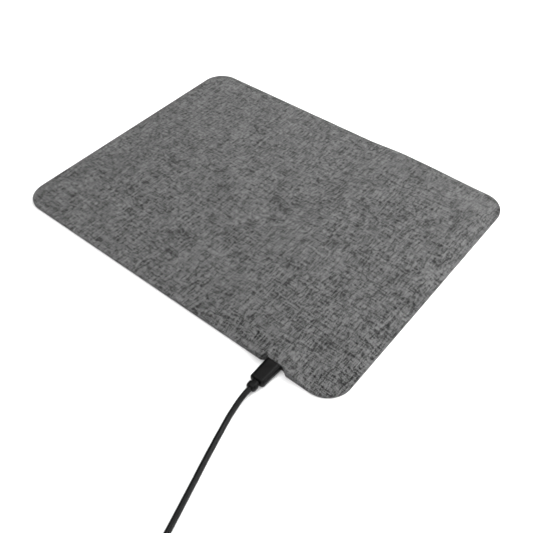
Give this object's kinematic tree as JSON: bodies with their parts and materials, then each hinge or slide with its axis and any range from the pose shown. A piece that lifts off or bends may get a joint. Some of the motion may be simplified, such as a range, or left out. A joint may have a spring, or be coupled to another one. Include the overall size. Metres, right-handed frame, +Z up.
{
  "type": "wireless charging pad",
  "caption": "Thin rectangular fabric-topped desk mat with a wireless charging area, a recessed socket in its front edge and a plug-in lead.",
  "frame": {"origin": "middle of the mat's underside, on the desk", "axes": "+X along the long side towards the charging area, +Y away from the user, +Z up; the socket is in the -Y edge"},
  "size_m": [0.26, 0.3856, 0.0079],
  "materials": {
    "fabric": "heathered grey woven polyester",
    "core": "matt flexible sheet",
    "base": "non-slip matt rubber",
    "bezel": "fine matt moulding",
    "steel": "nickel-plated, satin",
    "contact": "gold-plated",
    "insulator": "moulded, matt",
    "overmould": "soft PVC moulding, fine grain",
    "cable": "smooth PVC jacket, satin",
    "strap": "hook-and-loop tape",
    "board": "green solder mask",
    "chip": "moulded epoxy",
    "ceramic": "fired ceramic",
    "ferrite": "dark ferrite, matt",
    "copper": "enamelled copper",
    "film": "polyimide film",
    "foam": "closed-cell foam"
  },
  "bodies": {
    "mat": {"base_sheet": "base", "charging_coil": "copper", "circuit_board": "board", "coil_film": "film", "coil_lead_inner": "copper", "coil_lead_outer": "copper", "coil_pad": "foam", "controller_chip": "chip", "core_board": "core", "ferrite_sheet": "ferrite", "filter_capacitor_1": "ceramic", "filter_capacitor_2": "ceramic", "port_housing": "bezel", "power_chip_1": "chip", "power_chip_2": "chip", "receptacle_contact_1": "contact", "receptacle_contact_2": "contact", "receptacle_contact_3": "contact", "receptacle_contact_4": "contact", "receptacle_contact_5": "contact", "receptacle_shell": "steel", "receptacle_tongue": "insulator", "resonant_capacitor_1": "ceramic", "resonant_capacitor_2": "ceramic", "resonant_capacitor_3": "ceramic", "resonant_capacitor_4": "ceramic", "supply_inductor": "ferrite", "thermistor": "chip", "top_fabric": "fabric"},
    "lead": {"cord_coil": "cable", "cord_lead": "cable", "cord_tail": "cable", "cord_tie": "strap", "plug_contact_1": "contact", "plug_contact_2": "contact", "plug_contact_3": "contact", "plug_contact_4": "contact", "plug_contact_5": "contact", "plug_insulator": "insulator", "plug_overmould": "overmould", "plug_shell": "steel", "plug_strain_relief": "overmould", "usb_a_contact_1": "contact", "usb_a_contact_2": "contact", "usb_a_contact_3": "contact", "usb_a_contact_4": "contact", "usb_a_insulator": "insulator", "usb_a_overmould": "overmould", "usb_a_shell": "steel", "usb_a_strain_relief": "overmould"}
  },
  "joints": [
    {"name": "plug_pull", "type": "slide", "parent": "mat", "child": "lead", "axis": [0, -1, 0], "range_m": [0, 0.012]}
  ]
}
